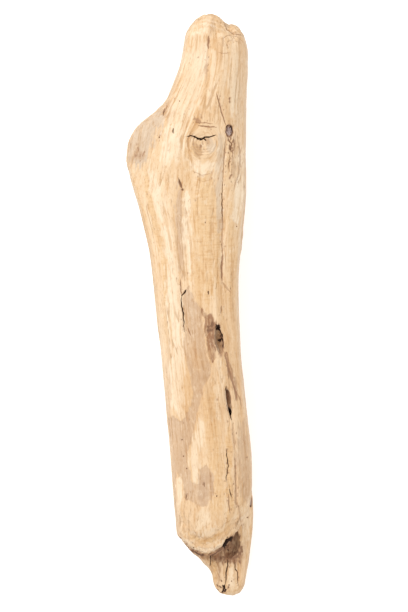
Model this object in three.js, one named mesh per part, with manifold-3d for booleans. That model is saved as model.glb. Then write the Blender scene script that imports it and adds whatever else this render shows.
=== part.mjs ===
// A piece of driftwood: one length of sea-worn branch, lying on its worn underside.
//
// Frame, in millimetres: +Y runs along the grain from the splintered end to the crown, +X across it,
// +Z up. The origin is the middle of the footprint, on the surface that the wood rests on.
//
// The wood grew and weathered as one piece, so it is one solid. It is made of a trunk, a shoulder
// beside the crown and a tongue below the broken end, joined, and then hollowed where it rotted.

import * as THREE from "three";
import { ParametricGeometry } from "three/addons/geometries/ParametricGeometry.js";
import { mergeVertices } from "three/addons/utils/BufferGeometryUtils.js";
import Module from "manifold-3d";

// ---- Driving dimensions ----------------------------------------------------------------------

const SECTION_POWER = 2.25; // 2 is an ellipse; a little more gives the slightly squared-off section
const FLOOR = 0; // the underside is worn flat where the wood would reach below this height

// The trunk's outline, uncapped: where its left and right sides, its underside and its back lie at
// each place along the grain. The burl is the swelling of the left side about y = 88.
const TRUNK = {
  stations: [
    { y: 175, left: -0.6, right: 21, under: 13, back: 37 },
    { y: 165, left: -2.2, right: 26, under: 10, back: 40 },
    { y: 154, left: -3.8, right: 32, under: 7.5, back: 42.5 },
    { y: 144, left: -6, right: 34.2, under: 6, back: 44 },
    { y: 131, left: -10.8, right: 34, under: 4, back: 45.5 },
    { y: 121, left: -15.6, right: 33.6, under: 2.5, back: 47 },
    { y: 115, left: -22.6, right: 33.6, under: 1.5, back: 48 },
    { y: 108, left: -31, right: 33.6, under: 0.5, back: 49 },
    { y: 99, left: -36.2, right: 33.6, under: -1.2, back: 50 },
    { y: 88, left: -37.8, right: 33.4, under: -2.2, back: 50.5 },
    { y: 76, left: -35.6, right: 33.6, under: -1.8, back: 50 },
    { y: 58, left: -30.4, right: 32.8, under: 0.4, back: 49 },
    { y: 34, left: -24.8, right: 30.4, under: 2.4, back: 47 },
    { y: 5, left: -21.2, right: 28.9, under: 3.6, back: 45.5 },
    { y: -26, left: -17.6, right: 30.4, under: 3, back: 44.5 },
    { y: -56, left: -14.6, right: 33.4, under: 1.4, back: 43.5 },
    { y: -84, left: -12.2, right: 36.6, under: -0.8, back: 43 },
    { y: -108, left: -10, right: 37.2, under: -1.4, back: 42.5 },
    { y: -122, left: -8.8, right: 35, under: -0.6, back: 42 },
    { y: -133, left: -8, right: 30, under: 3, back: 40.5 },
    { y: -142, left: -8, right: 27, under: 10, back: 38.5 },
    { y: -151, left: -8, right: 22, under: 18, back: 37 },
  ],
  crown: { length: 15.6, x: 13, z: 26 }, // the rounded end at +Y closes on this point
  foot: { length: 18, x: 12, z: 28 }, // the lobe that overhangs the tongue closes on this one
  around: 44,
  step: 4.4,
};

// The tongue: the lower layer of wood left standing where the layers above it split away.
const TONGUE = {
  stations: [
    { y: -94, left: 8, right: 34, under: 6, back: 25 },
    { y: -110, left: 0, right: 37, under: 3, back: 27 },
    { y: -122, left: -4, right: 37.8, under: 1.6, back: 27 },
    { y: -136, left: -6.2, right: 37.4, under: 0.6, back: 26 },
    { y: -145, left: -2.6, right: 36.4, under: 0.4, back: 24.5 },
    { y: -150, left: 2.8, right: 35.9, under: 0.4, back: 23.5 },
    { y: -155, left: 8.6, right: 35.2, under: 0.6, back: 22.5 },
    { y: -160, left: 12.6, right: 34.3, under: 1, back: 21.5 },
    { y: -167, left: 14, right: 33, under: 2, back: 20 },
    { y: -175, left: 14.8, right: 31.4, under: 4, back: 18 },
  ],
  crown: { length: 10, x: 21, z: 16 },
  foot: { length: 8.5, x: 24.6, z: 11 },
  around: 28,
  step: 4,
};

// The shoulder: a second, lower lobe to the right of the crown, with a notch between the two.
const SHOULDER = { x: 25.2, y: 149, z: 25, rx: 9.2, ry: 19.6, rz: 15 };

// Valleys along the grain. Each follows a line of x, y points on one face; depth and width in mm.
const VALLEYS = [
  {
    name: "seam beside the middle panel",
    face: "back",
    depth: 1.5,
    width: 3.6,
    line: [[23, 108], [19.5, 84], [19.4, 40], [20, 8], [23, -22], [28, -56], [29.6, -90], [29.4, -124]],
  },
  {
    name: "valley left of the middle panel",
    face: "back",
    depth: 1.2,
    width: 4.2,
    line: [[-5.5, 98], [-5, 72], [-5, 40], [-5, 8], [-3.6, -16], [-2, -40]],
  },
  {
    name: "valley between the crown and the shoulder",
    face: "back",
    depth: 1.4,
    width: 3.6,
    line: [[20.5, 172], [15, 162], [11, 154], [9.6, 145], [9, 120]],
  },
  {
    name: "crease above the burl",
    face: "back",
    depth: 2.2,
    width: 4.4,
    line: [[-17, 122], [-12.5, 112], [-10, 104]],
  },
  {
    name: "long valley underneath",
    face: "under",
    depth: 2,
    width: 5,
    line: [[14, 160], [18, 120], [19, 70], [15, 20], [6, -40], [0, -90]],
  },
  {
    name: "short valley underneath",
    face: "under",
    depth: 1.6,
    width: 4,
    line: [[-20, 100], [-14, 50], [-9, 10], [-7, -30]],
  },
];

// Rotted hollows, each cut out as an ellipsoid that leans along the grain.
const HOLLOWS = [
  { name: "knot hole", x: 17.4, y: -20.6, z: 43, rx: 2.3, ry: 8.2, rz: 5.5, lean: 8 },
  { name: "hollow under the lobe", x: 24.6, y: -145, z: 25, rx: 4.6, ry: 8, rz: 7, lean: -20 },
  { name: "scoop behind the lip", x: 16, y: -150.5, z: 26, rx: 6, ry: 4.4, rz: 5, lean: 0 },
  { name: "open check", x: 23, y: -57, z: 42, rx: 1.5, ry: 9.4, rz: 6, lean: 9 },
  { name: "knot hole underneath", x: 14, y: -46, z: 2, rx: 3.4, ry: 6, rz: 5, lean: -6 },
];

// ---- Curves ----------------------------------------------------------------------------------

// A smooth curve through value against place, for places in any order.
function curveThrough(places, values) {
  const order = places.map((_, i) => i).sort((a, b) => places[a] - places[b]);
  const interpolant = new THREE.CubicInterpolant(
    order.map((i) => places[i]),
    order.map((i) => values[i]),
    1,
  );
  const [low, high] = [places[order[0]], places[order.at(-1)]];
  return (place) => interpolant.evaluate(THREE.MathUtils.clamp(place, low, high))[0];
}

// How far a rounded end has closed: 1 along the length, and down a quarter circle to 0 at the tip.
function closing(distanceToTip, capLength) {
  const into = THREE.MathUtils.clamp(1 - distanceToTip / capLength, 0, 1);
  return Math.sqrt(1 - into * into);
}

function valleyShape({ line, depth, width, face }) {
  const middle = curveThrough(line.map(([, y]) => y), line.map(([x]) => x));
  const [high, low] = [line[0][1], line.at(-1)[1]];
  const fade = 0.25 * (high - low);
  const rises = (y) =>
    THREE.MathUtils.smoothstep(y, low, low + fade) * (1 - THREE.MathUtils.smoothstep(y, high - fade, high));
  return { face, at: (x, y) => depth * Math.exp(-(((x - middle(y)) / width) ** 2)) * rises(y) };
}

// Slow swellings that keep the weathered flanks from being even; they die out at the two sides.
function swelling(angle, y) {
  const broad = 0.9 * Math.sin(2 * angle + y / 31 + 0.6);
  const fine = 0.45 * Math.sin(5 * angle - y / 19 + 1.9);
  return (broad + fine) * Math.abs(Math.sin(angle));
}

// ---- Solids ----------------------------------------------------------------------------------

const wasm = await Module();
wasm.setup();

// A closed three.js geometry as a manifold-3d solid.
function solidFrom(geometry) {
  const bare = new THREE.BufferGeometry().setAttribute("position", geometry.getAttribute("position"));
  const merged = mergeVertices(bare.setIndex(geometry.index), 1e-3);
  const corners = merged.index.array;
  const kept = [];
  for (let i = 0; i < corners.length; i += 3) {
    const [a, b, c] = corners.slice(i, i + 3);
    if (a !== b && b !== c && c !== a) kept.push(a, b, c); // the slivers at a closed end go
  }
  return new wasm.Manifold(
    new wasm.Mesh({
      numProp: 3,
      vertProperties: merged.getAttribute("position").array,
      triVerts: new Uint32Array(kept),
    }),
  );
}

// A limb that follows its stations and closes in a rounded end at each tip.
function limb({ stations, crown, foot, around, step }, valleys = []) {
  const along = stations.map((s) => s.y);
  const [left, right, under, back] = ["left", "right", "under", "back"].map((side) =>
    curveThrough(along, stations.map((s) => s[side])),
  );
  const [bottom, top] = [Math.min(...along), Math.max(...along)];
  const rings = Math.round((top - bottom) / step);

  const surface = (u, v, target) => {
    // The rings crowd towards the tips, where the ends are round.
    const eased = v - (0.55 * Math.sin(2 * Math.PI * v)) / (2 * Math.PI);
    const y = THREE.MathUtils.lerp(bottom, top, eased);
    const angle = -2 * Math.PI * u; // this way round, the faces point outwards
    const end = y > (top + bottom) / 2 ? crown : foot;
    const open = closing(Math.min(top - y, y - bottom), end.length);
    const closed = (value, tip) => THREE.MathUtils.lerp(tip, value, open);
    const [l, r] = [closed(left(y), end.x), closed(right(y), end.x)];
    const [low, high] = [closed(under(y), end.z), closed(back(y), end.z)];

    const [halfWidth, halfHeight] = [(r - l) / 2, (high - low) / 2];
    const [cos, sin] = [Math.cos(angle), Math.sin(angle)];
    const squared = (c) => Math.sign(c) * Math.abs(c) ** (2 / SECTION_POWER);
    // A section wider than it is high is egg-shaped: the burl on the left is slimmer than the stem.
    const flatness = halfWidth > halfHeight ? 1 - halfHeight / halfWidth : 0;
    const slim = 1 - flatness * Math.max(0, -cos);
    const x = (l + r) / 2 + halfWidth * squared(cos);
    const face = sin > 0 ? "back" : "under";
    const worn = valleys
      .filter((valley) => valley.face === face)
      .reduce((sum, valley) => sum + valley.at(x, y), 0);
    const lift = (swelling(angle, y) - worn * Math.abs(sin)) * open;
    const z = (low + high) / 2 + halfHeight * slim * squared(sin) + lift * Math.sign(sin);
    target.set(x, y, Math.max(z, FLOOR));
  };
  return solidFrom(new ParametricGeometry(surface, around, rings));
}

function ellipsoid({ x, y, z, rx, ry, rz, lean = 0 }, segments = 18, rings = 12) {
  const geometry = new THREE.SphereGeometry(1, segments, rings)
    .scale(rx, ry, rz)
    .rotateZ(THREE.MathUtils.degToRad(lean))
    .translate(x, y, z);
  return solidFrom(geometry);
}

function driftwoodSolid() {
  let wood = limb(TRUNK, VALLEYS.map(valleyShape))
    .add(ellipsoid(SHOULDER, 24, 16))
    .add(limb(TONGUE));
  for (const hollow of HOLLOWS) wood = wood.subtract(ellipsoid(hollow));
  return wood;
}

// ---- The part --------------------------------------------------------------------------------

function meshOf(solid, name, material) {
  const { vertProperties, numProp, triVerts } = solid.getMesh();
  const stride = new THREE.InterleavedBuffer(vertProperties, numProp);
  const position = new THREE.InterleavedBufferAttribute(stride, 3, 0);
  const geometry = new THREE.BufferGeometry()
    .setAttribute("position", position)
    .setIndex(new THREE.BufferAttribute(triVerts, 1));
  geometry.computeVertexNormals();
  const mesh = new THREE.Mesh(geometry, material);
  mesh.name = name;
  return mesh;
}

const weatheredWood = new THREE.MeshStandardMaterial({ color: 0xe9c79b, roughness: 0.8, metalness: 0 });

const driftwood = new THREE.Group();
driftwood.add(meshOf(driftwoodSolid(), "driftwood", weatheredWood));

export default driftwood;
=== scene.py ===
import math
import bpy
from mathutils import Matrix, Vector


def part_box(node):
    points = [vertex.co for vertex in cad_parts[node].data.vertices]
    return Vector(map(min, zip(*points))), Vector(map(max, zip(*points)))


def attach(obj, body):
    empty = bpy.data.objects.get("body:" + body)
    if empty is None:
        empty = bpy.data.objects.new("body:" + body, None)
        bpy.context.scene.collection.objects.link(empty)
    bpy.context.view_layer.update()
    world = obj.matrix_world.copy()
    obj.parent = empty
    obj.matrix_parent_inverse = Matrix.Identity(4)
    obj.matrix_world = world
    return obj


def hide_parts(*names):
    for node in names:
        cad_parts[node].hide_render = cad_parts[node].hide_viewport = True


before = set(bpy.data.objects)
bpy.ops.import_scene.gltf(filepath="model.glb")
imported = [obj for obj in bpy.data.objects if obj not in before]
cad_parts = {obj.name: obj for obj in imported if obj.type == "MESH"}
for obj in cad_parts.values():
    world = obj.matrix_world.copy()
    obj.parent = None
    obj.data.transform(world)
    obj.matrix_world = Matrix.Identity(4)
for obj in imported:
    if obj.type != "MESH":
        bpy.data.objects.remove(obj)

# A piece of driftwood: its weathered surface, finish, light and camera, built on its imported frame.
#
# Lengths and places are in units, a 350th of the wood's length, which is a millimetre at its built
# size. x runs across the grain from the middle of the wood, y along it from the middle towards the
# crown, and z up from the surface that it rests on.

from concurrent.futures import ThreadPoolExecutor

import bmesh
import bpy
import numpy as np
from mathutils import Vector

NODE = "driftwood"
bpy.context.view_layer.update()
LOW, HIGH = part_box(NODE)
UNIT = (HIGH.y - LOW.y) / 350
MIDDLE = (LOW + HIGH) / 2
ORIGIN = np.array([MIDDLE.x, MIDDLE.y, LOW.z])

# ---- Driving values ----

VOXEL = 0.5  # how fine the mesh is away from the marks
WELD_WITHIN = 0.002  # points of the CAD mesh that are nearer than this are one point
SMOOTHING = 0.5
SMOOTHING_PASSES = 36
NEAR_MARK = 0.8  # how far past a check or a pinhole the mesh is refined
NEAR_PLUG = 1.3  # the same for a dead knot, as a share of its size

# The grain follows the outline between these two places; past them the ends cut through the layers.
GRAIN_ENDS = (-127, 158)
OUTLINE_STEP = 2  # how far apart the outline is measured
OUTLINE_BLUR = 7  # how far along the wood it is smoothed
# The burl stands out of the grain: at these places along, the outline counts only this far left.
BURL_GRAIN = ((40, 75, 95, 120), (-40, -27, -21, -18))
# In the grain the wood is this far from middle to side, and from middle to back, all along.
GRAIN_WIDTH = 30
GRAIN_HEIGHT = 23
# The growth layers are ovals: their height as a share of their width, and how far below the middle
# their heart is.
LAYER_FLATNESS = 0.8
HEART_BELOW = 4

# The axes that each side is drawn on, across and along, and the way that it faces.
SIDES = {
    "face": ((0, 1), (0, 0, 1)),
    "under": ((0, 1), (0, 0, -1)),
    "left": ((2, 1), (-1, 0, 0)),
    "right": ((2, 1), (1, 0, 0)),
}
FACING = (0.08, 0.4)  # a side's marks fade in as the wood turns to face it, between these

# ---- Noise ----

# Noise that is drawn out along the grain: how wide and how long its waves are, and its seed.
GRAIN_NOISE = {
    "streaks": (2, 26, 4),
    "swells": (6.5, 75, 21),
    "ridges": (2.4, 36, 22),
    "fibres": (1.15, 14, 23),
    "furrows": (3.2, 44, 27),
    "frays of a stroke": (1.3, 9, 63),
    "grain showing through": (1.1, 8, 64),
    "frays of a patch": (1.4, 5, 66),
    "grey blotches": (9, 60, 71),
    "tan stripes": (7, 45, 72),
}
# Noise that ignores the grain: the size of its waves along x, y and z, and its seed.
PLAIN_NOISE = {
    "flecks": ((1.6, 3.2, 1.6), 3),
    "lumps": ((15, 24, 15), 25),
    "pitting": ((1.5, 2.6, 1.5), 26),
    "where it is furrowed": ((13, 34, 13), 28),
    "drift of the layers": ((14, 60, 14), 31),
    "large pits": ((2.2, 3.2, 2.2), 45),
    "small pits": ((1.1, 1.5, 1.1), 46),
    "frays of a hole": ((0.7, 1.6, 0.7), 47),
    "sound wood in a hole": ((1.2, 2.4, 1.2), 48),
}
# Noise that follows the growth layers: how thick and how long its bands are, and its seed.
LAYER_NOISE = {"relief": (1.7, 90, 24), "colour": (2.2, 120, 81)}
# How outlines wander: a seed, how far, and how long each turn is.
WANDERING = {
    "marks": (5, 0.26, 2.2),
    "rings": (41, 0.5, 3.5),
    "edges of layers": (51, 0.5, 3),
    "patches": (61, 0.9, 6),
    "strokes": (61, 1.7, 8),
}
# How far each of these raises the wood, or lowers it where it is less than 0.
RISES = dict(
    swells=0.44, lumps=0.4, ridges=0.23, layers=0.13, fibres=0.085, pitting=0.08, furrows=-0.34,
    rings=0.1, knot=0.5, collar=0.3,
)

# ---- What wear, rot and growth left on it ----

# Knots: the grain parts round each one, and its rings, this far apart, show round its middle, most
# clearly on the side that lies this many degrees round from the right. One without rings has a collar.
KNOTS = {
    "big knot": dict(side="face", at=(8, 96.5), radius=9, rings=1.7, way=220),
    "small knot": dict(side="face", at=(23.5, 103.8), radius=3, rings=0),
    "knot hole": dict(side="face", at=(17.4, -20.6), radius=4, rings=0),
    "knot in the burl": dict(side="left", at=(26, 92), radius=7, rings=1.9, way=90),
    "knot on the right": dict(side="right", at=(24, 38), radius=5, rings=1.5, way=300),
    "knot hole underneath": dict(side="under", at=(14, -46), radius=5, rings=0),
    "knot underneath": dict(side="under", at=(-8, 60), radius=6, rings=1.6, way=60),
}

# Dead knots, each loose in its socket, the gap round it dark with painted shade: half its size
# across and along.
PLUGS = {
    "small knot": dict(side="face", at=(23.5, 103.8), size=(2.1, 3.3)),
    "small knot on the left": dict(side="left", at=(18, -96), size=(2, 3)),
    "small knot on the right": dict(side="right", at=(19, -118), size=(1.8, 2.8)),
}

# Checks, which are the cracks that drying opened, and lines like them, on each side: a name, the
# line, its width and its depth at their most, how far its inside goes, through brown, to black, and
# how far the wood beside it sinks. Each tapers to both ends. The brown and black is painted shade
# inside the deep checks, and partly the lines' own darker colour along the shallow ones.
CHECKS = {"face": [
    ("across the big knot",
     [(-2, 100), (0.5, 100.6), (2.6, 100.1), (5, 98.9), (7.4, 98.6), (9, 99.8), (12, 99.9),
      (15.6, 101.2)],
     0.7, 2.4, 1, 0.5),
    ("star below it", [(6, 97.8), (8.2, 99.2), (9.8, 97.6)], 0.8, 1.4, 0.9, 0),
    ("above the big knot", [(4.6, 106.6), (10, 106), (16, 105.6)], 0.65, 0.6, 0.5, 0),
    ("higher above it", [(3, 108.4), (9, 108.2), (14, 107.6)], 0.55, 0.4, 0.34, 0),
    ("into the small knot", [(15.6, 126), (17.2, 121.5), (19, 115), (21.8, 106)],
     0.6, 0.6, 0.46, 0),
    ("seam, top", [(21.4, 100), (21, 92), (20.4, 84), (19.6, 72)], 0.7, 0.7, 0.25, 0.5),
    ("seam", [(19.6, 74), (19.4, 66), (19.5, 58), (19.6, 48)], 0.45, 1.1, 0.56, 0.5),
    ("seam, faint", [(19.6, 54), (19.5, 40), (19.6, 28)], 0.8, 0.5, 0.28, 0.5),
    ("seam, bottom", [(19.6, 31), (19.1, 22), (19.3, 14)], 1.1, 0.8, 0.42, 0.5),
    ("seam, foot", [(19.3, 14), (21.4, 11), (24, 8)], 0.9, 0.5, 0.25, 0),
    ("left check, faint top", [(-5.6, 16), (-5.4, 10), (-5, 6)], 0.5, 0.6, 0.5, 0),
    ("left check, slit", [(-2.2, 9.6), (-3.4, 7.6), (-5, 5.6)], 0.7, 1.6, 0.95, 0),
    ("left check", [(-4.6, 6), (-5.4, 3), (-5, -1), (-4.1, -5), (-3.8, -10), (-3.4, -16)],
     0.5, 2.2, 0.92, 0.35),
    ("fork of the left check", [(-1.2, -13.6), (0.5, -18)], 0.45, 0.5, 0.5, 0),
    ("arc below the big knot", [(1.4, 80), (7, 77), (13.4, 78.4)], 0.6, 0.3, 0.22, 0),
    ("lower arc", [(3, 75), (8, 73.4), (12.6, 74.6)], 0.5, 0.2, 0.16, 0),
    ("streak below the knot hole", [(20.4, -27), (22.8, -36), (25.6, -46), (28, -55)],
     0.9, 0.5, 0.4, 0),
    ("arc below the streak", [(26.6, -50), (29.6, -55.6), (30.6, -62)], 0.6, 0.4, 0.32, 0),
    ("dash above the knot hole", [(18.9, 0), (18.5, -5)], 0.6, 0.7, 0.45, 0),
    ("open check, top", [(21.6, -48), (21.9, -53), (22.6, -60)], 0.5, 1.6, 0.65, 0.5),
    ("open check", [(22.8, -59.5), (24, -63), (25, -68.5)], 0.75, 2, 0.95, 0.5),
    ("thin check", [(21.8, -85), (22.6, -91), (23.2, -95.5), (22.2, -100.5), (21.4, -105)],
     0.5, 1.6, 0.8, 0.4),
    ("below the thin check", [(23.4, -109), (24.9, -114)], 0.55, 1, 0.75, 0),
    ("line to the lobe", [(22.9, -112), (23.2, -118), (23.9, -124)], 0.6, 0.5, 0.4, 0),
    ("upper edge of the right panel", [(25.4, -70), (26.8, -88)], 1.2, 0.6, 0.2, 0),
    ("edge of the right panel",
     [(26.8, -86), (27.5, -105), (27.6, -117), (29.6, -121), (31, -129), (30, -135)],
     1.1, 0.8, 0.24, 0.5),
    ("below the small knot", [(22.6, 101.4), (23.4, 98), (25.2, 96.4), (24.4, 93), (26, 90)],
     0.7, 0.9, 0.5, 0.5),
    ("right of that", [(25.8, 100), (27, 96), (26.4, 92)], 0.55, 0.6, 0.34, 0),
    ("further below it", [(24.6, 89), (23.2, 84), (23.8, 79)], 0.6, 0.6, 0.26, 0),
    ("arc right of the small knot",
     [(28.6, 100), (30, 92), (30, 85), (29, 77), (27, 73), (25.8, 67)],
     0.9, 0.4, 0.27, 0),
    ("hole left of the panel", [(-6.6, 75), (-5.8, 72), (-4.6, 69.5)], 0.9, 1.6, 0.55, 0),
    ("slit in the crease", [(-15.2, 118), (-16.2, 113)], 0.5, 0.9, 0.6, 0),
    ("short slit in the crease", [(-13.6, 120), (-14.8, 115)], 0.45, 0.6, 0.45, 0),
    ("slit beside the knot", [(-9.8, 105.4), (-9.9, 102)], 0.5, 1.2, 0.8, 0),
    ("slit in the panel", [(11, 8.8), (11.2, 6.4)], 0.6, 0.9, 0.75, 0),
    ("slit in the crown", [(11.2, 160.6), (11, 157), (10.8, 152.6)], 1, 0.7, 0.42, 0.4),
    ("crease of the crown", [(20.6, 169), (22.4, 165), (26, 162.6), (32, 161)],
     0.6, 0.7, 0.35, 0.5),
    ("curl below the crease", [(19.8, 154), (20, 159), (22.6, 161), (28, 160.6), (31.4, 157.6)],
     0.7, 0.3, 0.24, 0),
    ("inner curl", [(22, 153.6), (22.6, 157), (26, 158.4), (30, 156.4)], 0.6, 0.2, 0.18, 0),
    ("line across the crown", [(16.6, 150.4), (20, 149.8), (24, 150.4)], 0.6, 0.3, 0.24, 0),
    ("groove of the crown", [(10.6, 154), (10, 146), (9.4, 138)], 0.9, 0.3, 0.16, 0.5),
    ("slit in the blob", [(8.2, -105), (8.6, -108)], 0.45, 0.6, 0.6, 0),
    ("slit in the patch", [(-2.4, -112), (-2.6, -115.6)], 0.45, 0.6, 0.6, 0),
    ("left crack of the tongue", [(12, -149.5), (11.9, -153), (11.7, -157)], 0.5, 1.6, 0.9, 0.6),
    ("middle crack of the tongue",
     [(22.6, -152), (22.8, -156.5), (21.9, -160), (21.8, -165), (20.8, -169)],
     0.45, 2.2, 0.95, 1.1),
    ("tip of the middle crack", [(21, -168), (20, -171.6), (18.6, -174)], 0.9, 1.4, 0.85, 0),
    ("right crack of the tongue",
     [(26.6, -153), (27.4, -159), (29, -161), (28.8, -165), (29.3, -169.5)],
     0.42, 1.5, 0.62, 1),
], "left": [
    ("long check on the left", [(20, 20), (20.6, 6), (19.4, -12), (20.2, -30), (19.6, -44)],
     0.8, 2, 0.95, 0.5),
    ("short check on the left", [(28, -56), (27.2, -68), (28, -80)], 0.6, 1.2, 0.8, 0),
    ("check in the burl", [(8, 93), (13, 91.4), (18, 92.4), (22, 91.2)], 0.8, 1.8, 0.95, 0.5),
], "right": [
    ("long check on the right", [(20, 146), (21.2, 126), (19.8, 104), (20.4, 84), (19.6, 66)],
     0.8, 2, 0.95, 0.5),
    ("lower check on the right", [(16, -10), (17.2, -34), (15.8, -58), (16.6, -76)],
     0.7, 1.6, 0.9, 0.4),
], "under": [
    ("long check underneath", [(9, 52), (10.6, 30), (9.4, 6), (11.8, -14), (12.8, -34)],
     0.9, 2.4, 1, 0.6),
    ("second check underneath", [(-4, -20), (-3, -46), (-1.6, -66)], 0.7, 1.6, 0.9, 0.4),
    ("check below the crown", [(16, 158), (15, 136), (17, 116)], 0.7, 1.6, 0.9, 0.4),
]}

# Pinholes of borers on the face, dark with painted shade: place across and along, and radius.
PINHOLES = [
    (-18.4, 99.8, 0.5), (-6.2, 121.6, 0.4), (-23.4, 114, 0.4), (-5, -80, 0.45), (-4.2, -90, 0.45),
    (34.3, -90.6, 0.4), (16, -113.4, 0.5), (9.2, 49.2, 0.45), (28.2, 47, 0.4), (-4.4, 68.6, 0.7),
    (-2.2, -97.2, 0.45), (34.6, -127.4, 0.45), (23.4, -168.4, 0.45), (25, -166, 0.4),
]

# Where the wood has crumbled into pits, dark with painted shade: half each place's size, how many
# pits and how dark.
CRUMBLED = {
    "tip of the tongue": dict(at=(18.6, -170.2), size=(3.6, 4.4), many=0.6, dark=0.88),
    "right of that": dict(at=(23, -169.4), size=(3, 2.4), many=0.35, dark=0.6),
    "upper left of the hollow": dict(at=(22.8, -143), size=(2.6, 4.6), many=0.62, dark=1),
    "right of the hollow": dict(at=(29.2, -147), size=(3.2, 8), many=0.5, dark=0.62),
    "tongue below the hollow": dict(at=(20, -151.6), size=(9, 3.4), many=0.34, dark=0.6),
    "beside the knot hole": dict(at=(12.6, -13.4), size=(3.4, 6), many=0.56, dark=0.66),
    "top of the knot hole": dict(at=(16.8, -13.4), size=(1.5, 2.6), many=0.9, dark=1),
    "in the knot hole": dict(at=(18.4, -20.6), size=(1.5, 7.4), many=0.45, dark=0.9),
    "below the small knot": dict(at=(24.4, 95.4), size=(2.8, 7.4), many=0.32, dark=0.5),
    "lower down": dict(at=(25, 80), size=(2.6, 8), many=0.2, dark=0.4),
    "middle of the big knot": dict(at=(5.6, 94), size=(3.6, 3.4), many=0.25, dark=0.42),
    "below the crown": dict(at=(24.8, 122.4), size=(1.6, 4), many=0.5, dark=0.5),
    "above the big knot": dict(at=(5, 112), size=(7, 10), many=0.1, dark=0.35),
    "burl": dict(at=(-30.4, 91), size=(4.4, 6), many=0.14, dark=0.35),
    "under the edge of the lobe": dict(at=(2, -148.4), size=(7, 3.4), many=0.34, dark=0.7),
}
PIT_DEPTH = 0.7

# Marks at random: more pinholes over the other sides, dark with painted shade, and small brown
# specks all over.
SCATTER_SEED = 11
SCATTERED_PINHOLES = dict(many=80, radii=(0.5, 0.8), depth=0.9, dark=0.7)
SPECKS = dict(many=700, radii=(0.3, 0.75), depth=0.25, dark=0.42)

# Ragged edges where a thin layer has worn away: how far the wood drops to the line's left, or rises
# where that is less than 0, and the line.
STEPS = {
    "left of the middle panel": (0.45, [
        (-3.2, 96), (-3.4, 70), (-3.4, 45), (-2.6, 20), (0.6, 5), (5, -4), (9, -16), (9, -32),
    ]),
    "right of the seam": (-0.4, [
        (22, 96), (20.2, 78), (19.8, 50), (19.6, 20), (22, -20), (24.6, -50), (26.8, -88),
        (27.8, -117),
    ]),
}

# The broken edge of the lobe above the tongue, from left to right. Between these two heights the
# broken end is worn back, this far. The layers above the edge stop short of it by these distances,
# each a little lower than the next. Behind the edge the wood rises in a rim and sinks in a valley:
# how far, how far back, and how wide.
LIP = [
    (-8, -135), (-6, -139), (-3.5, -143), (-0.5, -145.5), (3.5, -147.5), (7, -149), (10.5, -150),
    (13, -149), (16, -147), (18.5, -145.5), (21, -143.5), (23, -141), (25.5, -139), (27.5, -137),
]
LIP_HEIGHTS = (20, 31)
LIP_WEAR = 2.4
LIP_LAYERS = (1.8, 3.8, 6.4, 9.6)
LAYER_DROP = 0.3
LIP_FOLDS = ((0.9, 2.2, 1.6), (-0.7, 7, 2.6))

# ---- Colours ----

# The colours of the bare wood, of what stains it and of the painted shade in its marks, as
# linear light.
COLOURS = {
    "cream": (0.765, 0.575, 0.38),
    "ochre": (0.69, 0.475, 0.275),
    "pale": (0.815, 0.67, 0.495),
    "honey": (0.715, 0.49, 0.27),
    "tan": (0.59, 0.42, 0.28),
    "grey": (0.60, 0.47, 0.345),
    "brown": (0.34, 0.185, 0.105),
    # Painted shade for the low spots of the fine relief.
    "grime": (0.46, 0.27, 0.13),
    "plug": (0.13, 0.07, 0.055),
    "ash": (0.42, 0.32, 0.28),
    "rot": (0.14, 0.055, 0.024),
    # Painted shade deep in the checks, pits and holes.
    "dark": (0.025, 0.011, 0.006),
    "shade of a layer": (0.82, 0.68, 0.52),
    "shade of a streak": (0.76, 0.60, 0.43),
    "shade of a fibre": (0.68, 0.51, 0.36),
    "shade of a curl": (0.80, 0.66, 0.50),
}

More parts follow.
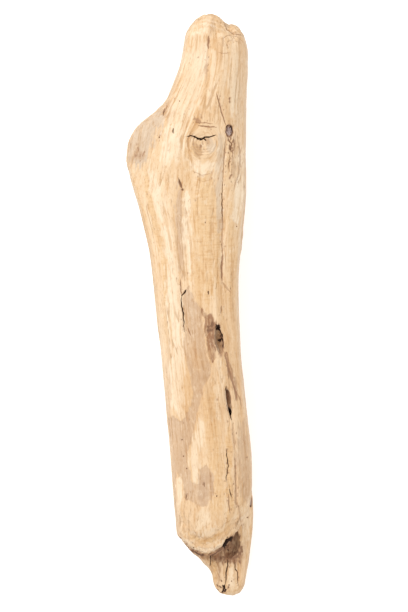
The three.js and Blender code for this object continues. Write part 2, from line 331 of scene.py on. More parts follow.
# Soft strokes of those colours along the grain: a line, half the stroke's width, and its strength.
STROKES = {"pale": [
    ([(12, 171), (6, 162), (3.5, 148), (1, 132), (-3, 120), (-7.5, 108), (-11, 96), (-12, 84)],
     7.5, 0.8),
    ([(-12, 112), (-9, 98), (-8, 84)], 5, 0.8),
    ([(0, 84), (7, 80.6), (14, 84)], 4, 0.7),
    ([(-24, 81), (-19, 63), (-16, 50)], 3.6, 0.7),
    ([(-15, 46), (-11, 26), (-9, 3), (-7, -21), (-8, -42), (-8, -57), (-6, -66)], 5.4, 0.8),
    ([(-1.6, 68), (-1.8, 40), (-0.6, 18)], 2.8, 0.8),
    ([(20.6, 160), (22, 130)], 2, 0.7),
    ([(6.4, 168), (7, 150), (5, 134)], 3, 0.75),
    ([(13.6, 152), (14.6, 134), (12, 116)], 3.4, 0.85),
    ([(26, 158), (26.4, 130), (25.6, 112)], 3, 0.85),
    ([(30, 155), (30.6, 138), (30, 118)], 3.4, 0.4),
    ([(16, 150), (18, 134), (18, 116)], 4, 0.4),
    ([(8, -122), (8, -136)], 6.5, 0.5),
    ([(30.5, 96), (30.5, 78)], 2.4, 0.6),
    ([(30.4, 80), (29.4, 66), (27.6, 50)], 3.8, 0.9),
    ([(17, -32), (18.6, -42), (17, -57), (17, -70)], 2.6, 0.6),
    ([(7, -68), (4, -84), (2.6, -93), (4, -101), (4, -107)], 4, 0.9),
    ([(-6.2, -102), (-6, -122)], 2.4, 0.85),
    ([(33.5, -120), (34, -142)], 3, 0.6),
    ([(24, -158), (24.6, -170)], 2.4, 0.5),
    ([(-2.4, -20), (-2, -26)], 2, 0.8),
    ([(-5, -139), (0, -144), (7, -147), (13, -146.4), (20, -141.6)], 1.8, 0.85),
], "honey": [
    ([(17, 152), (17.6, 130), (17, 111)], 2.6, 0.3),
    ([(-28, 84), (-25, 69), (-22, 56), (-18, 42), (-15.6, 26), (-14.6, 0)], 2.4, 0.7),
    ([(-35, 80), (-31, 63), (-26.5, 43)], 2.4, 0.6),
    ([(8, 76), (8.5, 45), (8.5, 21), (10, 1)], 9.5, 0.7),
    ([(3.4, 97), (4.4, 88)], 3.6, 0.9),
    ([(14.2, -153), (15, -167)], 2.8, 1),
    ([(14, 72), (15.5, 40), (16, 10)], 2.6, 0.7),
    ([(13, -52), (13, -70), (14, -87), (15.6, -105), (15.6, -126)], 6, 0.5),
    ([(23, -73), (23.5, -99), (24, -122), (22, -135)], 2.2, 0.8),
    ([(-3, -134), (1, -139), (7, -141), (13, -140), (19, -136)], 2.4, 0.9),
    ([(24, 62), (25, 30), (24, -4)], 3.4, 0.4),
], "tan": [
    ([(-7, 74), (-6, 54), (-5.6, 33), (-5, 14)], 2.6, 0.9),
    ([(-13, 122), (-11.6, 114), (-13, 106)], 4.2, 0.7),
    ([(32, -66), (33, -93), (33, -118)], 5.6, 0.8),
    ([(9.6, 136), (9, 146), (8.6, 152)], 1.6, 0.5),
    ([(27, -157), (31, -150), (34, -138)], 3.4, 0.5),
    ([(-31, 92), (-30, 86)], 3.4, 0.5),
    ([(8, -99), (10, -108), (6, -116)], 5, 0.9),
    ([(-13.6, -16), (-12, -50), (-12, -70)], 1.8, 0.5),
    ([(16.6, -158), (17, -168)], 2.6, 0.5),
], "grey": [
    ([(30, 158), (30.5, 135), (30, 117), (29.5, 105)], 4.6, 0.3),
    ([(-16, 118), (-24, 110), (-30, 102), (-33, 93), (-31, 84)], 10, 1),
    ([(17.2, 102), (17.8, 92), (17.5, 69), (17.6, 44)], 2.4, 0.6),
    ([(12.4, 98.6), (12.4, 90)], 3.2, 0.7),
    ([(-4, -133), (3, -137), (10, -136.4), (16, -133)], 2, 0.35),
], "brown": [
    ([(6.6, -1), (10.2, -8.6)], 1.3, 0.7),
    ([(21, -28), (23.6, -38), (26, -47), (28.4, -57)], 1.7, 0.85),
    ([(4.2, 97), (5, 88)], 2.8, 0.42),
    ([(-7, -138.6), (-2, -146), (4, -149.6), (10, -152.4)], 1.9, 0.75),
    ([(27, 104), (26.4, 92), (25, 76)], 1.2, 0.35),
    ([(14.4, 172), (13, 160)], 1.2, 0.3),
    ([(22.4, -50), (23.8, -62)], 1.7, 0.95),
    ([(11, -151.5), (16, -152), (22, -152), (29, -151)], 4, 1),
    ([(15, -149), (19, -150)], 2.6, 0.8),
    ([(28.8, -141), (30, -148), (28.6, -155)], 1.6, 0.6),
    ([(17.4, -153), (17.8, -166)], 1, 0.55),
    ([(12.8, -157), (13.6, -166)], 0.8, 0.4),
    ([(11.6, -5), (14.4, -12.6)], 2.4, 1),
    ([(8, -99), (10, -108), (6, -116)], 5, 0.26),
    ([(-32, 94), (-29, 86)], 1.8, 0.25),
    ([(9.4, 132), (9.8, 144)], 1, 0.3),
]}

# Stained patches, each inside an outline: how strong the stain is, how far the worn wood drops at
# its edge, and how much the bare grain shows through it in streaks.
TAN_PATCH = [
    (-1, 11.6), (3, 3), (6.6, -3), (9, -18), (9.2, -30), (12.8, -36), (12, -43), (8, -48), (6, -58),
    (4, -66), (3.4, -71), (0.6, -80), (-1.6, -90), (0, -99), (1.6, -106), (6, -106), (6, -97),
    (10, -95), (14.2, -101), (14, -113), (10, -120), (3, -119), (-3, -114), (-4.2, -104), (-8, -99),
    (-9, -118), (-14, -118), (-16, -71), (-11, -66), (-6.6, -68.6), (-3, -67), (0.6, -59),
    (2.2, -52), (0, -41), (-2, -34), (-4.2, -25), (-2.6, -13), (-4.6, 3),
]
BROWN_PATCH = [
    (5.6, 0), (8, -2.4), (10.6, -8), (14.6, -9.5), (15.6, -13), (14.6, -17), (15.2, -24),
    (15.8, -31), (13.2, -35), (11, -31), (9.8, -27), (10, -20), (8.4, -13), (8.4, -8),
]
PATCHES = [
    dict(colour="tan", outline=TAN_PATCH, strength=0.95, drop=0.35, streaked=0.12),
    dict(colour="brown", outline=BROWN_PATCH, strength=1, drop=0.3, streaked=0.5),
]

# Rotted holes in the face: half the size across and along, how many degrees each leans from the
# grain, the height above which it marks the wood, the way that the blackest part of its rim lies,
# in degrees round from the right, how rotted the wood inside is, how softly that ends, and how dark
# the rest of the rim is. The dark rim is painted shade, and the dark inside is rotted wood deepened
# by painted shade of the hole.
HOLES = {
    "knot hole": dict(
        at=(17.4, -20.6), size=(2.5, 8.6), lean=8,
        above=20, rim=25, rot=0.42, soft=0.3, outline=0.35,
    ),
    "hollow under the lobe": dict(
        at=(24.4, -145.6), size=(4.2, 6.8), lean=-15,
        above=8, rim=150, rot=0.92, soft=0.7, outline=0,
    ),
}

# ---- Helpers ----


def smoothstep(value, low, high):
    t = np.clip((value - low) / (high - low), 0, 1)
    return t * t * (3 - 2 * t)


NOISE_BATCH = 8000  # the points that one thread works out at a time


def noise(points, seed):
    """Smooth noise, from about -1 to 1, at (n, 3) points, one unit to a wave."""
    random = np.random.default_rng(seed)
    order = random.permutation(256)
    slopes = random.normal(size=(256, 3))
    slopes /= np.linalg.norm(slopes, axis=1, keepdims=True)

    def noise_of(points):
        cell = np.floor(points).astype(int)
        part = points - cell
        fade = part**3 * (part * (part * 6 - 15) + 10)
        total = np.zeros(len(points))
        for corner in np.ndindex(2, 2, 2):
            at = (cell + corner) & 255
            pick = order[(order[(order[at[:, 0]] + at[:, 1]) & 255] + at[:, 2]) & 255]
            shares = np.where(corner, fade, 1 - fade)
            gap = part - corner
            slope = slopes[pick]
            dot = slope[:, 0] * gap[:, 0] + slope[:, 1] * gap[:, 1] + slope[:, 2] * gap[:, 2]
            total += shares[:, 0] * shares[:, 1] * shares[:, 2] * dot
        return total

    with ThreadPoolExecutor() as pool:
        parts = list(pool.map(noise_of, np.array_split(points, len(points) // NOISE_BATCH + 1)))
    return 1.6 * np.concatenate(parts)


def along_line(points, line, reach=np.inf):
    """Each point's distance from a line, its share of the way along, and 1 on its left or -1.

    Points further than the reach from the line's box are left at an endless distance."""
    line = np.array(line, float)
    near = np.all((points > line.min(0) - reach) & (points < line.max(0) + reach), axis=1)
    nearest = np.full(len(points), np.inf)
    share = np.zeros(len(points))
    left = np.ones(len(points))
    picked = points[near]
    best = np.full(len(picked), np.inf)
    at = np.zeros(len(picked))
    side = np.ones(len(picked))
    runs = np.linalg.norm(np.diff(line, axis=0), axis=1)
    starts = np.concatenate([[0], np.cumsum(runs)])
    for a, b, run, start in zip(line, line[1:], runs, starts):
        way = (b - a) / run
        gap = picked - a
        t = np.clip(gap @ way, 0, run)
        distance = np.linalg.norm(gap - t[:, None] * way, axis=1)
        nearer = distance < best
        best[nearer] = distance[nearer]
        at[nearer] = (start + t[nearer]) / starts[-1]
        side[nearer] = np.sign(way[0] * gap[nearer, 1] - way[1] * gap[nearer, 0])
    nearest[near], share[near], left[near] = best, at, side
    return nearest, share, left


def inside(points, outline):
    """True for the points inside a closed outline."""
    within = np.zeros(len(points), bool)
    for (ax, ay), (bx, by) in zip(outline, outline[1:] + outline[:1]):
        if ay == by:
            continue
        crosses = (ay > points[:, 1]) != (by > points[:, 1])
        at = ax + (bx - ax) * (points[:, 1] - ay) / (by - ay)
        within ^= crosses & (points[:, 0] < at)
    return within


def hump(value, middle, width):
    """1 where the value is the middle, and less on both sides of it."""
    return np.exp(-(((value - middle) / width) ** 2))


def taper(share):
    """1 along most of a line and 0 at its two ends."""
    return np.sin(np.pi * np.clip(share, 0, 1)) ** 0.5


def wobble(flat, seed, amount, size):
    """The same places, pushed a little to and fro, so that what is drawn there isn't straight."""
    at = np.column_stack([flat / size, np.zeros(len(flat))])
    return flat + amount * np.column_stack([noise(at, seed), noise(at, seed + 1)])


# ---- The wood's mesh ----


def placed(name, data):
    """A new object in the scene."""
    made = bpy.data.objects.new(name, data)
    bpy.context.scene.collection.objects.link(made)
    return made


def fine_copy(cad):
    """An even, fine mesh of the CAD solid, its facets smoothed, in the CAD solid's own box."""
    source = placed("fine_copy", cad.data.copy())
    weld = source.modifiers.new("weld", "WELD")
    weld.merge_threshold = WELD_WITHIN * UNIT
    remesh = source.modifiers.new("remesh", "REMESH")
    remesh.mode = "VOXEL"
    remesh.voxel_size = VOXEL * UNIT
    smooth = source.modifiers.new("smooth", "SMOOTH")
    smooth.factor = SMOOTHING
    smooth.iterations = SMOOTHING_PASSES
    evaluated = source.evaluated_get(bpy.context.evaluated_depsgraph_get())
    mesh = bpy.data.meshes.new_from_object(evaluated)
    bpy.data.objects.remove(source)
    mesh.name = "weathered_driftwood"
    points = places(mesh)
    low, high = points.min(0), points.max(0)
    box_low = (np.array(LOW) - ORIGIN) / UNIT
    box_high = (np.array(HIGH) - ORIGIN) / UNIT
    move(mesh, box_low + (points - low) * (box_high - box_low) / (high - low))
    return mesh


def places(mesh):
    """The mesh's points, in units."""
    flat = np.empty(3 * len(mesh.vertices))
    mesh.vertices.foreach_get("co", flat)
    return (flat.reshape(-1, 3) - ORIGIN) / UNIT


def facings(mesh):
    """The mesh's normals."""
    flat = np.empty(3 * len(mesh.vertices))
    mesh.vertex_normals.foreach_get("vector", flat)
    return flat.reshape(-1, 3)


def move(mesh, points):
    mesh.vertices.foreach_set("co", (ORIGIN + points * UNIT).ravel())
    mesh.update()


def on_side(points, normals, side):
    """The points as drawn on one side, and how squarely each faces it, from 0 to 1."""
    axes, facing = SIDES[side]
    return points[:, axes], smoothstep(normals @ np.array(facing), *FACING)


def every_check():
    for side, checks in CHECKS.items():
        for _, *rest in checks:
            yield side, *rest


def near_marks(points, normals, margin):
    """True for the points within the margin of a check, a plug or a pinhole."""
    near = np.zeros(len(points), bool)
    for side, line, width, _, _, _ in every_check():
        flat, square = on_side(points, normals, side)
        reach = width + margin
        near |= (along_line(flat, line, reach)[0] < reach) & (square > 0)
    for plug in PLUGS.values():
        flat, square = on_side(points, normals, plug["side"])
        far = np.linalg.norm((flat - plug["at"]) / plug["size"], axis=1)
        near |= (far < NEAR_PLUG) & (square > 0)
    flat, square = on_side(points, normals, "face")
    for x, y, radius in PINHOLES:
        near |= (np.hypot(flat[:, 0] - x, flat[:, 1] - y) < radius + margin) & (square > 0)
    return near


def refine(mesh, margin):
    """Halves the edges of the faces that lie along the marks."""
    near = near_marks(places(mesh), facings(mesh), margin)
    cells = bmesh.new()
    cells.from_mesh(mesh)
    cells.verts.ensure_lookup_table()
    faces = {face for i in np.flatnonzero(near) for face in cells.verts[i].link_faces}
    edges = sorted({edge for face in faces for edge in face.edges}, key=lambda edge: edge.index)
    bmesh.ops.subdivide_edges(cells, edges=edges, cuts=1, use_grid_fill=True)
    cells.to_mesh(mesh)
    cells.free()
    mesh.update()


# ---- The grain ----


def outline_of(points):
    """Middle and half size of the wood's section, across and up, at any place along it."""
    stops = np.arange(GRAIN_ENDS[0], GRAIN_ENDS[1] + OUTLINE_STEP, OUTLINE_STEP)
    nearest = np.round((points[:, 1] - stops[0]) / OUTLINE_STEP).astype(int)
    reach = int(3 * OUTLINE_BLUR / OUTLINE_STEP)
    weights = np.exp(-((np.arange(-reach, reach + 1) * OUTLINE_STEP / OUTLINE_BLUR) ** 2))
    weights /= weights.sum()
    curves = []
    for axis in (0, 2):
        low = np.array([points[nearest == i, axis].min() for i in range(len(stops))])
        high = np.array([points[nearest == i, axis].max() for i in range(len(stops))])
        if axis == 0:
            low = np.maximum(low, np.interp(stops, *BURL_GRAIN))
        for values in ((low + high) / 2, (high - low) / 2):
            curves.append(np.convolve(np.pad(values, reach, "edge"), weights, "valid"))
    return lambda y: [np.interp(y, stops, curve) for curve in curves]


class Surface:
    """The wood's points and normals, and where each lies in the grain and on each side."""

    def __init__(self, mesh):
        self.points, self.normals = places(mesh), facings(mesh)
        self.sides = {}
        for side in SIDES:
            flat, square = on_side(self.points, self.normals, side)
            self.sides[side] = (wobble(flat, *WANDERING["marks"]), square)
        self.face = self.sides["face"]
        middle_x, half_x, middle_z, half_z = outline_of(self.points)(self.points[:, 1])
        across = GRAIN_WIDTH * (self.points[:, 0] - middle_x) / half_x
        up = GRAIN_HEIGHT * (self.points[:, 2] - middle_z) / half_z
        self.layer = np.hypot(across * LAYER_FLATNESS, up + HEART_BELOW)  # how far out the layer is
        for knot in KNOTS.values():
            flat, square = self.sides[knot["side"]]
            gap = flat - knot["at"]
            far = np.sum(gap**2, axis=1) + 0.35 * knot["radius"] ** 2
            parted = square * gap[:, 0] * knot["radius"] ** 2 / far
            if knot["side"] in ("face", "under"):
                across = across - parted
            else:
                up = up - parted
        self.grain = np.column_stack([across, self.points[:, 1], up])
        self.streaks = self.along_grain("streaks")
        self.flecks = self.plain("flecks")

    def blank(self):
        return np.zeros(len(self.points))

    def along_grain(self, name):
        across, along, seed = GRAIN_NOISE[name]
        return noise(self.grain / (across, along, across), seed)

    def plain(self, name):
        waves, seed = PLAIN_NOISE[name]
        return noise(self.points / waves, seed)

    def along_layers(self, name, drift=0):
        thick, along, seed = LAYER_NOISE[name]
        out = self.layer / thick + drift
        return noise(np.column_stack([out, self.points[:, 1] / along, 0 * out]), seed)


# ---- The weathered surface ----


def grain_relief(wood):
    """How far wear has raised or lowered each point: the large shape of it, and the fine."""
    large = RISES["swells"] * wood.along_grain("swells") + RISES["lumps"] * wood.plain("lumps")
    fine = RISES["layers"] * wood.along_layers("relief", wood.plain("drift of the layers"))
    for name in ("ridges", "fibres"):
        fine += RISES[name] * wood.along_grain(name)
    fine += RISES["pitting"] * wood.plain("pitting")
    lines = smoothstep(np.abs(wood.along_grain("furrows")), 0.085, 0)
    fine += RISES["furrows"] * lines * smoothstep(wood.plain("where it is furrowed"), -0.15, 0.35)
    return large, fine


def knot_relief(wood):
    """The swelling and the rings of each knot, and how strongly a ring shows at each point."""
    relief = wood.blank()
    rings = wood.blank()
    for knot in KNOTS.values():
        flat, square = wood.sides[knot["side"]]
        away = np.linalg.norm(wobble(flat, *WANDERING["rings"]) - knot["at"], axis=1)
        far = away / knot["radius"]
        if knot["rings"]:
            wave = np.cos(2 * np.pi * away / knot["rings"])
            shown = square * smoothstep(far, 1.5, 0.8)
            way = math.radians(knot["way"])
            towards = ((flat - knot["at"]) @ (math.cos(way), math.sin(way))) / (away + 0.5)
            clear = smoothstep(towards, -0.3, 0.6) * smoothstep(wood.flecks, -0.5, 0.3)
            clear = 0.25 + 0.75 * clear
            swelling = smoothstep(far, 1.9, 0.7) - 0.8 * smoothstep(far, 0.8, 0.1)
            relief += RISES["rings"] * wave * shown + RISES["knot"] * square * swelling
            rings = np.maximum(rings, shown * clear * smoothstep(-wave, 0.1, 0.95))
        else:
            relief += RISES["collar"] * square * hump(far, 1.2, 0.35)
    return relief, rings


def plug_marks(wood):
    """Depth at the dead knots, 1 on each knot, and 1 in the painted shade of the gap round each."""
    depth = wood.blank()
    gap_shade = wood.blank()
    within = wood.blank()
    for plug in PLUGS.values():
        flat, square = wood.sides[plug["side"]]
        far = np.linalg.norm((flat - plug["at"]) / plug["size"], axis=1)
        gap = square * hump(far, 1, 0.2) * (0.85 + 0.5 * wood.flecks)
        depth += 0.9 * np.clip(gap, 0, 1) + 0.35 * square * smoothstep(far, 1.05, 0.8)
        within = np.maximum(within, square * smoothstep(far, 1.12, 0.9))
        gap_shade = np.maximum(gap_shade, np.clip(gap, 0, 1))
    return depth, within, gap_shade


def check_marks(wood):
    """How deep the checks cut, and how dark the painted shade inside them is."""
    depth = wood.blank()
    dips = wood.blank()
    dark = wood.blank()
    for side, line, most_wide, most_deep, most_dark, dip in every_check():
        flat, square = wood.sides[side]
        distance, share, _ = along_line(flat, line, 6)
        width = most_wide * taper(share) * (0.85 + 0.35 * wood.flecks) + 0.02
        into = np.clip(1 - distance / width, 0, 1) * square
        depth = np.maximum(depth, most_deep * taper(share) * into**0.7)
        beside = square * taper(share) * hump(distance, 0, 2)
        dips = np.maximum(dips, dip * beside)
        dark = np.maximum(dark, most_dark * smoothstep(into, 0.05, 0.6))
    return depth + dips, dark


def pinhole_marks(wood):
    """Depth and darkness of the borers' holes, as painted shade, and of the brown specks."""
    depth = wood.blank()
    dark = wood.blank()
    flat, square = wood.face
    for x, y, radius in PINHOLES:
        far = np.hypot(flat[:, 0] - x, (flat[:, 1] - y) * 0.8) / radius
        depth += square * 1.2 * radius * smoothstep(far, 1.1, 0.5)
        dark = np.maximum(dark, 0.75 * square * smoothstep(far, 1.15, 0.2))
    random = np.random.default_rng(SCATTER_SEED)
    elsewhere = np.flatnonzero((wood.normals[:, 2] < 0.25) & (wood.points[:, 2] > 1))
    holes = random.choice(elsewhere, SCATTERED_PINHOLES["many"], replace=False)
    specks = random.choice(len(wood.points), SPECKS["many"], replace=False)
    for chosen, kind in ((holes, SCATTERED_PINHOLES), (specks, SPECKS)):
        for i in chosen:
            radius = random.uniform(*kind["radii"])
            near = np.flatnonzero(np.abs(wood.points[:, 1] - wood.points[i, 1]) < 3 * radius)
            gap = (wood.points[near] - wood.points[i]) * (1, 0.6, 1)
            mark = smoothstep(np.linalg.norm(gap, axis=1) / radius, 1.1, 0.2)
            depth[near] += kind["depth"] * radius * mark
            dark[near] = np.maximum(dark[near], random.uniform(0.5, 1) * kind["dark"] * mark)
    return depth, dark


def crumble_marks(wood):
    """How deep the crumbled pits are, and how dark the painted shade in them is."""
    flat, square = wood.face
    pits = wood.plain("large pits") + 0.6 * wood.plain("small pits")
    dark = wood.blank()
    for place in CRUMBLED.values():
        far = np.linalg.norm((flat - place["at"]) / place["size"], axis=1)
        least = 0.3 - place["many"] + 0.6 * far**2
        pitted = smoothstep(pits, least, least + 0.22)
        dark = np.maximum(dark, square * place["dark"] * pitted)
    return PIT_DEPTH * dark, dark


def step_relief(wood):
    """The relief of thin layers that stop at a ragged edge, and 1 on the edges behind the lip."""
    flat, square = wood.face
    ragged = wobble(flat, *WANDERING["edges of layers"])
    relief = wood.blank()
    for drop, line in STEPS.values():
        distance, share, left = along_line(ragged, line, 9)
        signed = np.minimum(distance, 9) * left + 0.5 * wood.streaks
        fade = smoothstep(distance, 9, 2) * taper(share)
        relief -= square * fade * drop * smoothstep(signed, -0.35, 0.35)
    edges = wood.blank()
    distance, _, left = along_line(ragged, LIP, 16)
    lobe = square * (left > 0) * (wood.points[:, 2] > LIP_HEIGHTS[1])
    for reach in LIP_LAYERS:
        signed = np.minimum(distance, 16) + 0.45 * wood.streaks + 0.3 * wood.flecks - reach
        relief -= lobe * LAYER_DROP * smoothstep(signed, 0.3, -0.3)
        edge = lobe * hump(signed, 0, 0.42) * smoothstep(wood.flecks, -0.5, 0.3)
        edges = np.maximum(edges, edge)
    for rise, back, width in LIP_FOLDS:
        relief += lobe * rise * hump(distance, back, width)
    return relief, edges


def lip_wear(wood):
    """How far the wood below the broken edge is worn back along the grain."""
    low, high = LIP_HEIGHTS
    _, along, up = wood.points.T
    ends = smoothstep(-wood.normals[:, 1], 0.2, 0.6) * smoothstep(along, -132, -137)
    between = smoothstep(up, low - 1.5, low + 1) * smoothstep(up, high, high - 1.5)
    return ends * between * (1 + 0.35 * wood.flecks)


def hole_marks(wood):
    """How far into a rotted hole each point is, and how far on its painted-shade rim, 0 to 1."""
    flat, _ = wood.face
    frayed = wood.plain("frays of a hole")
    sound = wood.plain("sound wood in a hole")
    within = wood.blank()
    rim_shade = wood.blank()
    for hole in HOLES.values():
        turn = math.radians(hole["lean"])
        gap = flat - hole["at"]
        across = (gap[:, 0] * math.cos(turn) + gap[:, 1] * math.sin(turn)) / hole["size"][0]
        along = (gap[:, 1] * math.cos(turn) - gap[:, 0] * math.sin(turn)) / hole["size"][1]
        far = np.hypot(across, along) + 0.24 * wood.flecks + 0.14 * wood.streaks + 0.14 * frayed
        above = wood.points[:, 2] > hole["above"]
        inner = smoothstep(far, 1 + hole["soft"] / 2, 1 - hole["soft"] / 2)
        inner *= 1 - 0.8 * hole["soft"] * smoothstep(sound, -0.05, 0.35)
        within = np.maximum(within, above * hole["rot"] * inner)
        way = math.radians(hole["rim"])
        towards = across * math.cos(way) + along * math.sin(way)
        rim = hole["outline"] + (1 - hole["outline"]) * smoothstep(towards, 0, 0.7)
        rim_shade = np.maximum(rim_shade, above * (hump(far, 0.88, 0.2) * rim))
    return within, rim_shade


def patch_depth(wood, outline):
    """How far inside a stained patch each point is; less than 0 outside it."""
    frayed = wobble(wood.face[0], *WANDERING["patches"])
    edge, _, _ = along_line(frayed, outline + outline[:1])
    deep = np.where(inside(frayed, outline), edge, -edge) + 0.4 * wood.streaks + 0.5 * wood.flecks
    return deep + 0.5 * wood.along_grain("frays of a patch")


def lip_shadow(wood, reach):
    """How much shade is painted on the wood just below the broken edge of the lobe, from 0 to 1."""
    flat, square = wood.face
    distance, _, left = along_line(flat, LIP, 9)
    below = (left < 0) | (wood.points[:, 2] < LIP_HEIGHTS[0] + 6)
    near = smoothstep(distance + 0.8 * wood.flecks, reach, 0.15 * reach)
    return square * below * near * (wood.points[:, 1] < LIP[0][1] - 2)


def lip_shade_line(wood):
    """1 on the thin line of painted shade where the lobe's broken edge meets the wood below it."""
    flat, square = wood.face
    distance, share, left = along_line(flat, LIP, 4)
    far = np.abs(distance * np.where(left > 0, 1, -1) + 0.5 + 0.3 * wood.flecks)
    return square * taper(share) * smoothstep(far, 0.95, 0.25)


def colour_shares(wood, patches):
    """How much of each colour lies on each point, its edges frayed along the grain."""
    flat, square = wood.face
    frayed = wobble(flat, *WANDERING["strokes"])
    fray = 0.55 * wood.streaks + 0.4 * wood.along_grain("frays of a stroke") + 0.25 * wood.flecks
    through = wood.along_grain("grain showing through") + 0.4 * wood.flecks
    shares = {}

    def lay(name, values):
        shares[name] = np.maximum(shares[name], values)

    for name, strokes in STROKES.items():
        most = wood.blank()
        for line, width, strength in strokes:
            distance, share, _ = along_line(frayed, line, 2.5 * width)
            near = 0.35 + 0.8 * taper(share) - distance / width + fray
            most = np.maximum(most, strength * smoothstep(near, 0.05, 0.5))
        if name == "brown":
            most *= 1 - 0.35 * smoothstep(through, 0, 0.5)
        shares[name] = square * most
    for patch, deep in zip(PATCHES, patches):
        stained = square * patch["strength"] * smoothstep(deep, -0.15, 0.3)
        stained *= 1 - patch["streaked"] * smoothstep(through, -0.15, 0.45)
        lay(patch["colour"], stained)
        shares["pale"] = shares["pale"] * (1 - stained)
    # Painted shade, in brown, just below the lobe's broken edge.
    lay("brown", 0.85 * lip_shadow(wood, 5))
    # Away from the face the wood is greyer and less bleached.
    away = smoothstep(wood.normals[:, 2], 0.35, -0.4)
    blotches = smoothstep(wood.along_grain("grey blotches"), -0.3, 0.6)
    lay("grey", 0.5 * away * blotches)
    stripes = smoothstep(wood.along_grain("tan stripes"), 0.15, 0.55)
    lay("tan", 0.6 * away * stripes)
    # Painted shade: the wood greys where it turns away from above, towards its edges.
    edge_shade = smoothstep(wood.normals[:, 2], 0.6, 0.15)
    lay("grey", 0.75 * edge_shade)
    return shares


def keep(mesh, name, values, kind="FLOAT"):
    """Stores a value for every point, for the material to read."""
    attribute = mesh.attributes.new(name, kind, "POINT")
    field = "vector" if kind == "FLOAT_VECTOR" else "value"
    attribute.data.foreach_set(field, np.ascontiguousarray(values, float).ravel())


def weather(mesh):
    """Carves the wear into the mesh and stores what the material needs."""
    wood = Surface(mesh)
    large, fine = grain_relief(wood)
    knots, rings = knot_relief(wood)
    check_depth, check_shade = check_marks(wood)
    crumble_depth, crumble_shade = crumble_marks(wood)
    hole_depth, pinhole_shade_and_specks = pinhole_marks(wood)
    plug_depth, plugs, gap_shade = plug_marks(wood)
    worn = lip_wear(wood)
    rot, rim_shade = hole_marks(wood)
    patches = [patch_depth(wood, patch["outline"]) for patch in PATCHES]
    face = wood.face[1]

    steps, layer_edges = step_relief(wood)
    relief = large + fine + knots + steps - check_depth - crumble_depth - hole_depth - plug_depth
    for patch, deep in zip(PATCHES, patches):
        relief -= face * patch["drop"] * smoothstep(deep, -0.25, 0.25) * smoothstep(deep, 9, 3)
    # The worn flats that the wood rests on stay flat.
    flats = smoothstep(-wood.normals[:, 2], 0.8, 0.97) * smoothstep(wood.points[:, 2], 1.2, 0.4)
    relief *= 1 - flats
    moved = wood.points + wood.normals * relief[:, None]
    moved[:, 1] += LIP_WEAR * worn
    moved[:, 2] = np.maximum(moved[:, 2], 0)
    move(mesh, moved)

    # Painted shade in the checks, pits, pinholes, hole rims, the gaps round the dead knots and the
    # line under the lobe's edge, with the brown of the specks.
    shade_and_specks = [check_shade, crumble_shade, pinhole_shade_and_specks, rim_shade, gap_shade, 0.78 * lip_shade_line(wood)]
    # Rotted wood in the holes, and painted shade on the worn end under the lobe and just below its
    # edge.
    rot_and_shade = [rot, 0.75 * np.clip(worn, 0, 1), lip_shadow(wood, 2.2)]
    keep(mesh, "grain", wood.grain, "FLOAT_VECTOR")
    keep(mesh, "layer", wood.along_layers("colour"))
    keep(mesh, "low", np.clip(-fine / 0.35, 0, 1))
    keep(mesh, "ring", np.maximum(rings, 0.55 * layer_edges))
    keep(mesh, "plug", plugs)
    keep(mesh, "crack", np.maximum.reduce(shade_and_specks))
    keep(mesh, "hollow", np.maximum.reduce(rot_and_shade))
    for name, values in colour_shares(wood, patches).items():
        keep(mesh, name, values)


# ---- The finish ----

# Noise in the finish: how wide and how long its waves are, its detail and its roughness.
FINISH_NOISE = {
    "broad": (7, 90, 2, 0.5),
    "streaks": (1.9, 42, 3, 0.6),
    "fibres": (0.75, 7, 3, 0.65),
    "pores": (0.5, 4.5, 2, 0.5),
    "curl": (7, 1.3, 2, 0.5),
    "mottling": (3.4, 6, 4, 0.7),
    "blotches": (11, 26, 2, 0.5),
    "speckle": (1.5, 2.6, 2, 0.6),
    "bump": (0.6, 6, 4, 0.75),
}
# What colours the wood, in order, over the strokes and patches: a colour, the noise or the stored
# value that it follows, the values at which it starts and is strongest, and how strong that is. A
# shade multiplies what is under it.
WEATHERING = [
    ("pale", "mottling", 0.52, 0.72, 0.5),
    ("ochre", "blotches", 0.52, 0.72, 0.35),
    ("shade of a layer", "layer", -0.5, 0.5, 0.5),
    ("shade of a streak", "streaks", 0.5, 0.72, 0.65),
    ("shade of a fibre", "fibres", 0.5, 0.78, 0.6),
    ("shade of a curl", "speckle", 0.54, 0.7, 0.4),
    ("pale", "speckle", 0.42, 0.3, 0.14),
    # Painted shade in the low spots of the fine relief.
    ("grime", "low", 0.25, 1, 0.62),
    ("brown", "ring", 0, 1, 0.64),
    ("brown", "pores", 0.62, 0.76, 0.55),
]
CURL = (0.48, 0.68, 0.55)  # where curly grain starts and is strongest in honey wood, and how strong
ROUGHNESS = (0.74, 0.9)  # between the fibres and on them
SHEEN = 0.18
BUMP_STRENGTH = 0.5
BUMP_HEIGHT = 0.3
# Painted shade in the marks, through brown to black, which also colours the brown specks.
CRACK_SHADE_AND_SPECKS = [("brown", "crack", 0, 0.5, 0.9), ("dark", "crack", 0.45, 0.95, 1)]


def feed(tree, socket, value):
    """Gives a socket a value or another node's output."""
    if isinstance(value, bpy.types.NodeSocket):
        tree.links.new(value, socket)
    else:
        socket.default_value = value


def add_node(tree, kind, settings=None, **inputs):
    """A shader node, with its settings and its inputs, each a value or another node's output."""
    made = tree.nodes.new(kind)
    for name, value in (settings or {}).items():
        setattr(made, name, value)
    for name, value in inputs.items():
        feed(tree, made.inputs[name.replace("_", " ")], value)
    return made


def mixed(tree, first, second, share, blend="MIX"):
    """Two colours mixed; each of the three is a value or an output."""
    mix = tree.nodes.new("ShaderNodeMix")
    mix.data_type = "RGBA"
    mix.blend_type = blend
    mix.clamp_factor = True
    for i, value in ((0, share), (6, first), (7, second)):
        feed(tree, mix.inputs[i], value)
    return mix.outputs[2]


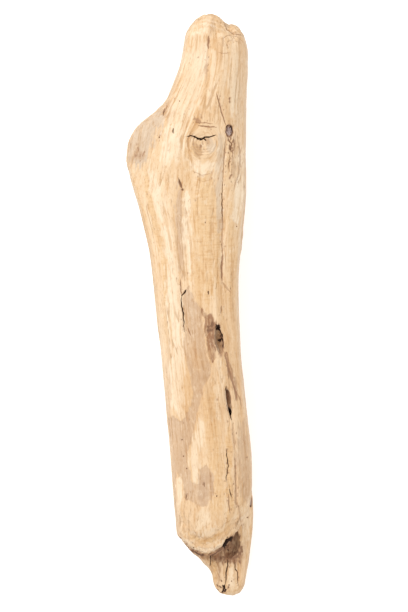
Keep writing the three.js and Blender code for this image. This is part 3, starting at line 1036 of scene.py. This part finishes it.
def remapped(tree, value, from_low, from_high, to_low, to_high):
    """A value that eases from one number to another as the given one goes from low to high."""
    made = add_node(
        tree, "ShaderNodeMapRange", {"interpolation_type": "SMOOTHSTEP"},
        Value=value, From_Min=from_low, From_Max=from_high, To_Min=to_low, To_Max=to_high,
    )
    return made.outputs["Result"]


def colour(name):
    return (*COLOURS[name], 1)


def stored(tree, name, output="Fac"):
    made = add_node(tree, "ShaderNodeAttribute", {"attribute_name": name})
    return made.outputs[output]


def grain_noise(tree, grain, across, along, detail, rough):
    """Noise drawn out along the grain, its waves this many units across and along."""
    stretch = add_node(tree, "ShaderNodeVectorMath", {"operation": "MULTIPLY"})
    tree.links.new(grain, stretch.inputs[0])
    stretch.inputs[1].default_value = (1 / across, 1 / along, 1 / across)
    made = add_node(
        tree, "ShaderNodeTexNoise",
        Vector=stretch.outputs[0], Scale=1.0, Detail=detail, Roughness=rough,
    )
    return made.outputs["Fac"]


def stained(tree, base, values, stains):
    """The base colour under a list of stains, each of which follows one of the values."""
    for name, follows, low, high, most in stains:
        blend = "MULTIPLY" if name.startswith("shade") else "MIX"
        share = remapped(tree, values[follows], low, high, 0, most)
        base = mixed(tree, base, colour(name), share, blend)
    return base


def weathered_wood():
    """Bare wood, bleached and stained, matte, with its grain in colour and in relief."""
    material = bpy.data.materials.new("weathered_wood")
    material.use_nodes = True
    tree = material.node_tree
    shader = tree.nodes["Principled BSDF"]
    grain = stored(tree, "grain", "Vector")

    values = {name: grain_noise(tree, grain, *shape) for name, shape in FINISH_NOISE.items()}
    for name in ("layer", "low", "ring", "hollow", "crack"):
        values[name] = stored(tree, name)

    base = stained(tree, colour("cream"), values, [("ochre", "broad", 0.35, 0.7, 1)])
    for name in ("honey", "grey", "tan", "pale", "brown"):
        base = mixed(tree, base, colour(name), stored(tree, name))
    base = stained(tree, base, values, WEATHERING)
    start, full, most = CURL
    curled = add_node(tree, "ShaderNodeMath", {"operation": "MULTIPLY"})
    feed(tree, curled.inputs[0], remapped(tree, values["curl"], start, full, 0, most))
    feed(tree, curled.inputs[1], stored(tree, "honey"))
    base = mixed(tree, base, colour("shade of a curl"), curled.outputs[0], "MULTIPLY")

    plug = stained(tree, colour("plug"), values, [("ash", "fibres", 0.38, 0.6, 1)])
    base = mixed(tree, base, plug, stored(tree, "plug"))
    # Rotted wood, darkened further by painted shade under the lobe, where the hollow value says.
    rot = stained(tree, colour("rot"), values, [("brown", "fibres", 0.4, 0.56, 1)])
    base = mixed(tree, base, rot, remapped(tree, values["hollow"], 0, 1, 0, 0.85))
    # Painted shade in the checks, pits and holes, and the brown specks.
    base = stained(tree, base, values, CRACK_SHADE_AND_SPECKS)
    tree.links.new(base, shader.inputs["Base Color"])

    roughness = remapped(tree, values["fibres"], 0.3, 0.7, *ROUGHNESS)
    tree.links.new(roughness, shader.inputs["Roughness"])
    shader.inputs["Specular IOR Level"].default_value = SHEEN
    bump = add_node(
        tree, "ShaderNodeBump",
        Strength=BUMP_STRENGTH, Distance=BUMP_HEIGHT * UNIT, Height=values["bump"],
    )
    tree.links.new(bump.outputs["Normal"], shader.inputs["Normal"])
    return material


def driftwood():
    """The weathered wood, which takes the CAD solid's place."""
    mesh = fine_copy(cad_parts[NODE])
    for margin in (NEAR_MARK, NEAR_MARK / 2):
        refine(mesh, margin)
    weather(mesh)
    mesh.materials.clear()
    mesh.materials.append(weathered_wood())
    mesh.shade_smooth()
    piece = placed("weathered_driftwood", mesh)
    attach(piece, "root")
    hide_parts(NODE)


# ---- The studio ----

FLOOR_SIZE = 12  # metres
FLOOR_COLOUR = (0.94, 0.94, 0.94, 1)
FLOOR_GLOW = 0.3  # the floor is a light table, so that shadows on it stay faint
WHITE = (1, 1, 1, 1)
SKY = 0.74
CAMERA_LENS = 300
CAMERA_SENSOR = 36
PICTURE_WIDTH = 0.7 * (HIGH.y - LOW.y)  # how much of the floor the picture's width takes in
LOOK_AT = Vector((MIDDLE.x + 8.4 * UNIT, MIDDLE.y - 0.3 * UNIT, LOW.z + 22 * UNIT))

# Soft boxes that look at the wood: place from its middle and size in metres, and power in watts.
SOFT_BOXES = [
    dict(name="key", place=(-1.4, 1.0, 1.9), size=1.1, power=40),
    dict(name="fill", place=(1.5, -0.4, 1.8), size=1.8, power=16),
]


def floor():
    mesh = bpy.data.meshes.new("floor")
    half = FLOOR_SIZE / 2
    corners = [(-half, -half), (half, -half), (half, half), (-half, half)]
    mesh.from_pydata([(x, y, LOW.z) for x, y in corners], [], [(0, 1, 2, 3)])
    material = bpy.data.materials.new("pale_floor")
    material.use_nodes = True
    shader = material.node_tree.nodes["Principled BSDF"]
    shader.inputs["Base Color"].default_value = FLOOR_COLOUR
    shader.inputs["Roughness"].default_value = 0.9
    shader.inputs["Specular IOR Level"].default_value = 0.1
    shader.inputs["Emission Color"].default_value = WHITE
    shader.inputs["Emission Strength"].default_value = FLOOR_GLOW
    mesh.materials.append(material)
    placed("floor", mesh)


def soft_light(name, place, size, power):
    data = bpy.data.lights.new(name, "AREA")
    data.shape = "SQUARE"
    data.size = size
    data.energy = power
    lamp = placed(name, data)
    lamp.location = MIDDLE + Vector(place)
    lamp.rotation_euler = (-Vector(place)).to_track_quat("-Z", "Y").to_euler()


def studio():
    floor()
    for box in SOFT_BOXES:
        soft_light(**box)
    world = bpy.data.worlds.new("studio")
    world.use_nodes = True
    background = world.node_tree.nodes["Background"]
    background.inputs["Color"].default_value = WHITE
    background.inputs["Strength"].default_value = SKY
    bpy.context.scene.world = world
    bpy.context.scene.view_settings.view_transform = "Standard"


def camera():
    """Straight above the wood, with the crown at the top of the picture."""
    data = bpy.data.cameras.new("camera")
    data.sensor_fit = "HORIZONTAL"
    data.sensor_width = CAMERA_SENSOR
    data.lens = CAMERA_LENS
    distance = PICTURE_WIDTH * CAMERA_LENS / CAMERA_SENSOR
    data.clip_end = 10 * distance
    viewer = placed("camera", data)
    viewer.location = LOOK_AT + Vector((0, 0, distance))
    bpy.context.scene.camera = viewer


camera()
studio()
driftwood()

bpy.context.view_layer.update()
